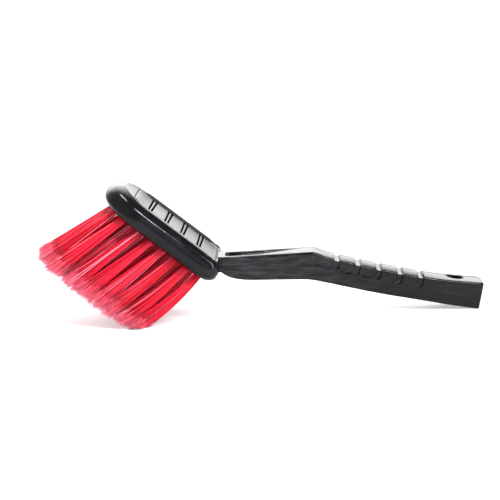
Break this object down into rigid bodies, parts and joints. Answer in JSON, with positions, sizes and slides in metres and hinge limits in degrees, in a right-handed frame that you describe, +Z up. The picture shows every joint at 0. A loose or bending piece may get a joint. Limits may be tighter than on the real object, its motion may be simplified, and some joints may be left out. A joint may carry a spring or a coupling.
{
  "type": "wheel brush",
  "caption": "Short-handled wheel brush: black moulded grip with finger grooves, thumb scoop and hanging hole, rubber-bumpered head and red flagged bristle tufts.",
  "frame": {"origin": "centre of the bounding box in plan, at floor level, with the brush resting on its bristle corner and handle end", "axes": "+X along the brush from bristle tips to handle end, +Y across it, +Z up from the floor"},
  "size_m": [0.2998, 0.0626, 0.0948],
  "materials": {
    "handle_plastic": "moulded black plastic, glossy with fine scuffs",
    "bumper_rubber": "smooth black rubber, semi-gloss",
    "bristle_red": "red synthetic filament, paler where the tips are split"
  },
  "bodies": {
    "root": {"handle": "handle_plastic", "bumper_boot": "bumper_rubber", "tuft_01": "bristle_red", "tuft_02": "bristle_red", "tuft_03": "bristle_red", "tuft_04": "bristle_red", "tuft_05": "bristle_red", "tuft_06": "bristle_red", "tuft_07": "bristle_red", "tuft_08": "bristle_red", "tuft_09": "bristle_red", "tuft_10": "bristle_red", "tuft_11": "bristle_red", "tuft_12": "bristle_red", "tuft_13": "bristle_red", "tuft_14": "bristle_red", "tuft_15": "bristle_red", "tuft_16": "bristle_red", "tuft_17": "bristle_red", "tuft_18": "bristle_red", "tuft_19": "bristle_red", "tuft_20": "bristle_red", "tuft_21": "bristle_red", "tuft_22": "bristle_red", "tuft_23": "bristle_red", "tuft_24": "bristle_red", "tuft_25": "bristle_red", "tuft_26": "bristle_red", "tuft_27": "bristle_red", "tuft_28": "bristle_red", "tuft_29": "bristle_red", "tuft_30": "bristle_red", "tuft_31": "bristle_red", "tuft_32": "bristle_red", "tuft_33": "bristle_red", "tuft_34": "bristle_red", "tuft_35": "bristle_red", "tuft_36": "bristle_red"}
  },
  "joints": []
}
